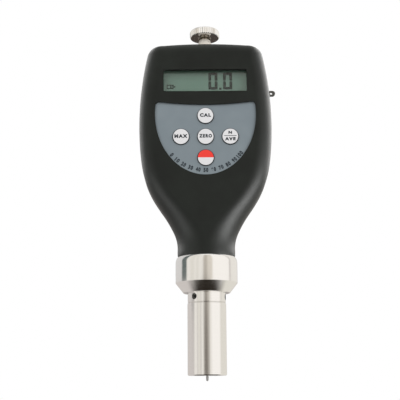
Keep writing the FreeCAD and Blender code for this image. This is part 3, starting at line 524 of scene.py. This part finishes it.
def key_finish(name, x, z, upper_colour):
    """White gloss paint with painted shade of the gap at the edge, and another colour above the
    middle.
    """
    material, tree, coordinates = start_material(name + "_paint")
    centred = add_node(
        tree, "Mapping", {}, {"Vector": coordinates, "Location": (-x * MM, 0, -z * MM)}
    ).outputs["Vector"]
    flat = add_node(
        tree, "VectorMath", {"operation": "MULTIPLY"}, {0: centred, 1: (1, 0, 1)}
    ).outputs["Vector"]
    radius = add_node(tree, "VectorMath", {"operation": "LENGTH"}, {0: flat}).outputs["Value"]
    height = add_node(tree, "SeparateXYZ", {}, {"Vector": centred}).outputs["Z"]
    above = add_node(
        tree, "MapRange", {},
        {"Value": height, "From Min": -SPRAY_BLUR * MM, "From Max": SPRAY_BLUR * MM},
    ).outputs["Result"]
    # Dark towards the rim: painted shade of the gap round the key
    edge = add_node(
        tree, "MapRange", {},
        {"Value": radius, "From Min": GAP_SHADE_BEGINS * MM, "From Max": GAP_SHADE_FULL * MM},
    ).outputs["Result"]
    paint = add_node(
        tree, "Mix", {"data_type": "RGBA"},
        {"Factor": above, 6: linear(KEY_WHITE), 7: linear(upper_colour)},
    ).outputs[2]
    paint = add_node(
        tree, "Mix", {"data_type": "RGBA"}, {"Factor": edge, 6: paint, 7: linear(KEY_GAP_SHADE)}
    ).outputs[2]
    ripple = add_node(
        tree, "TexNoise", {}, {"Vector": coordinates, "Scale": 1 / (1.2 * MM)}
    ).outputs["Fac"]
    relief = add_node(
        tree, "Bump", {}, {"Height": ripple, "Strength": 0.04, "Distance": 0.02 * MM}
    ).outputs["Normal"]
    surface = add_node(
        tree, "BsdfPrincipled", {}, {"Base Color": paint, "Roughness": 0.38, "Normal": relief}
    ).outputs[0]
    add_node(tree, "OutputMaterial", {}, {"Surface": surface})
    return material


for name, (x, z) in KEY_PLACES.items():
    dress(key_finish(name, x, z, KEY_RED if name == "key_power" else KEY_WHITE), name)

LEGENDS = {
    "key_cal": (("CAL", 0.0, 123.6, 5.4, 1.8, 0.0),),
    "key_max": (("MAX", -11.9, 113.1, 6.3, 1.85, 0.0),),
    "key_zero": (("ZERO", 0.0, 113.15, 6.2, 1.8, 0.0),),
    "key_average": (("N", 11.9, 114.8, 1.7, 1.45, 0.0), ("AVE", 11.9, 111.6, 5.2, 1.65, 0.0)),
}
# Between the two legends of key_average: x, z, width and height
LEGEND_LINE = (11.9, 113.2, 6.0, 0.26)
for name, words in LEGENDS.items():
    legend_form = bmesh.new()
    printed_words(legend_form, words, KEY_FRONT)
    if name == "key_average":
        bar(legend_form, *LEGEND_LINE, KEY_FRONT - INK_THICKNESS, KEY_FRONT)
    legend = piece_from(legend_form, name.replace("key", "legend"))
    legend.data.materials.append(dark_ink_and_gap_shade)
    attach(legend, name + "_body")

# Foot, lock ring and knob
# Turned from stainless bar and polished on the lathe, where the tool leaves fine rings round
# the axis. The foot and the ring fit on the barrel's lower end, and the knob screws on its stud.
turned_steel, tree, coordinates = start_material("turned_stainless_steel")
flat = add_node(
    tree, "VectorMath", {"operation": "MULTIPLY"}, {0: coordinates, 1: (1, 1, 0)}
).outputs["Vector"]
radius = add_node(tree, "VectorMath", {"operation": "LENGTH"}, {0: flat}).outputs["Value"]
height = add_node(tree, "SeparateXYZ", {}, {"Vector": coordinates}).outputs["Z"]
along = add_node(tree, "Math", {"operation": "ADD"}, {0: radius, 1: height}).outputs[0]
# Feed marks are 0.05 mm apart; they are drawn at 0.4 mm so that they show
marks = add_node(
    tree, "TexNoise", {"noise_dimensions": "1D"},
    {"W": along, "Scale": 1 / (0.4 * MM), "Detail": 3.0},
).outputs["Fac"]
polish = add_node(
    tree, "MapRange", {}, {"Value": marks, "To Min": 0.10, "To Max": 0.20}
).outputs["Result"]
relief = add_node(
    tree, "Bump", {}, {"Height": marks, "Strength": 0.12, "Distance": 0.01 * MM}
).outputs["Normal"]
steel_colour = add_node(
    tree, "ValToRGB", {"stops": [(0.2, linear("F6F5F3")), (0.8, linear("FCFBFA"))]},
    {"Fac": marks},
).outputs["Color"]
surface = add_node(
    tree, "BsdfPrincipled", {},
    {"Base Color": steel_colour, "Metallic": 1.0, "Roughness": polish, "Normal": relief},
).outputs[0]
add_node(tree, "OutputMaterial", {}, {"Surface": surface})
dress(turned_steel, "presser_foot", "lock_ring", "clamp_knob")

# Collar
# Turned from the same stainless bar, with a rounded shoulder under the neck and a straight cone
# down to the lock ring. Its outline, radius and level, is spun round the axis.
COLLAR_OUTLINE = (
    (6.5, 39.35), (9.3, 39.35), (9.3, 38.75), (11.1, 38.75), (11.3, 38.87), (14.78, 43.3),
    (14.9, 43.5), (14.9, 53.2), (14.85, 53.7), (14.75, 54.2), (14.6, 54.7), (14.4, 55.15),
    (14.13, 55.55), (13.75, 55.9), (6.5, 55.9),
)
COLLAR_STEPS = 192
COLLAR_SHARP = math.radians(14)
collar_form = bmesh.new()
corners = [
    collar_form.verts.new(Vector((radius_mm, 0, level_mm)) * MM)
    for radius_mm, level_mm in COLLAR_OUTLINE
]
sides = [collar_form.edges.new(pair) for pair in zip(corners, corners[1:] + corners[:1])]
bmesh.ops.spin(
    collar_form, geom=corners + sides, cent=(0, 0, 0), axis=(0, 0, 1), angle=math.tau,
    steps=COLLAR_STEPS, use_merge=True,
)
bmesh.ops.recalc_face_normals(collar_form, faces=collar_form.faces)
for face in collar_form.faces:
    face.smooth = True
turned_collar = piece_from(collar_form, "turned_collar")
turned_collar.data.set_sharp_from_angle(angle=COLLAR_SHARP)
turned_collar.data.materials.append(turned_steel)
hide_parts("collar")
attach(turned_collar, "housing")

# Top seat
# Cone under the stud, turned from the same bar and bead blasted, so it is satin where the
# rest is bright.
blasted_steel, tree, coordinates = start_material("bead_blasted_steel")
pits = add_node(
    tree, "TexNoise", {}, {"Vector": coordinates, "Scale": 1 / (0.3 * MM), "Detail": 2.0}
).outputs["Fac"]
satin = add_node(
    tree, "MapRange", {}, {"Value": pits, "To Min": 0.48, "To Max": 0.58}
).outputs["Result"]
blasted_colour = add_node(
    tree, "ValToRGB", {"stops": [(0.2, linear("F0EBE3")), (0.8, linear("FAF6F0"))]},
    {"Fac": pits},
).outputs["Color"]
surface = add_node(
    tree, "BsdfPrincipled", {},
    {"Base Color": blasted_colour, "Metallic": 0.35, "Roughness": satin},
).outputs[0]
add_node(tree, "OutputMaterial", {}, {"Surface": surface})
dress(blasted_steel, "mount_seat")

# Dark steel
# Grub screws of the lock ring and the cord's eye, blackened in hot oxide, which leaves a thin
# soft sheen.
black_oxide, tree, coordinates = start_material("black_oxide_steel")
oxide = add_node(
    tree, "TexNoise", {}, {"Vector": coordinates, "Scale": 1 / (1.5 * MM), "Detail": 4.0}
).outputs["Fac"]
oxide_colour = add_node(
    tree, "ValToRGB", {"stops": [(0.3, linear("555655")), (0.8, linear("7A7B7A"))]},
    {"Fac": oxide},
).outputs["Color"]
oxide_sheen = add_node(
    tree, "MapRange", {}, {"Value": oxide, "To Min": 0.3, "To Max": 0.5}
).outputs["Result"]
surface = add_node(
    tree, "BsdfPrincipled", {},
    {"Base Color": oxide_colour, "Metallic": 1.0, "Roughness": oxide_sheen},
).outputs[0]
add_node(tree, "OutputMaterial", {}, {"Surface": surface})
dress(black_oxide, "lock_screws", "strap_eye")

# Inner pieces, stud and washer
# What the shells hold: board, switches, cells, springs and the measuring unit, and on top the
# knob's oiled stud and washer. Each metal or plastic has a grain that suits how it is made.
INNER_FINISHES = {
    # Darker and lighter colour, metallic, roughness, grain in mm, and the nodes
    "oiled_steel": ("8F867A", "ABA296", 1.0, 0.12, 0.5, ("mount_stud", "knob_washer")),
    "zinc_plated_steel": (
        "B9BBBF", "CDCFD2", 1.0, 0.32, 0.8,
        ("board_screws", "case_screws", "stud_nut", "indenter_screw"),
    ),
    "ground_steel": ("A9AAAC", "BEBFC1", 1.0, 0.22, 0.5, ("indenter", "spindle", "barrel")),
    "drawn_spring_wire": ("77797C", "8E9093", 1.0, 0.35, 0.4, ("main_spring",)),
    "nickel_plate": ("C6C3BB", "D8D5CD", 1.0, 0.2, 0.6, ("battery_contacts", "battery_springs")),
    "turned_brass": (
        "C29A52", "D8B36B", 1.0, 0.25, 0.4,
        ("lower_bush", "upper_bush", "spring_adjuster", "spring_seat"),
    ),
    "enamelled_copper": ("8A3F1E", "A85A2C", 0.6, 0.35, 0.25, ("sensor_coil",)),
    "sintered_ferrite": ("2B2B2E", "3A3A3D", 0.3, 0.6, 0.5, ("sensor_core",)),
    "moulded_black_abs": (
        "1A1B1C", "242526", 0.0, 0.5, 0.6, ("lcd_frame", "coil_former", "key_switches"),
    ),
    "epoxy_chip": ("17181A", "202124", 0.0, 0.6, 0.3, ("chips",)),
    "solder_mask": ("0E4A2A", "14603A", 0.0, 0.35, 1.2, ("main_board",)),
    "striped_silicone": ("8A7F80", "3A3436", 0.0, 0.6, 0.3, ("lcd_connectors",)),
    "printed_cell_sleeve": ("3C4A58", "46566A", 0.0, 0.3, 4.0, ("battery_cells",)),
}
for finish, (darker, lighter, metallic, roughness, grain_mm, names) in INNER_FINISHES.items():
    material, tree, coordinates = start_material(finish)
    grain = add_node(
        tree, "TexNoise", {}, {"Vector": coordinates, "Scale": 1 / (grain_mm * MM), "Detail": 3.0}
    ).outputs["Fac"]
    tint = add_node(
        tree, "ValToRGB", {"stops": [(0.3, linear(darker)), (0.7, linear(lighter))]},
        {"Fac": grain},
    ).outputs["Color"]
    gloss = add_node(
        tree, "MapRange", {}, {"Value": grain, "To Min": roughness, "To Max": roughness + 0.12}
    ).outputs["Result"]
    relief = add_node(
        tree, "Bump", {}, {"Height": grain, "Strength": 0.15, "Distance": 0.02 * MM}
    ).outputs["Normal"]
    surface = add_node(
        tree, "BsdfPrincipled", {},
        {"Base Color": tint, "Metallic": metallic, "Roughness": gloss, "Normal": relief},
    ).outputs[0]
    add_node(tree, "OutputMaterial", {}, {"Surface": surface})
    dress(material, *names)

# View
# Standard colours.
bpy.context.scene.view_settings.view_transform = "Standard"
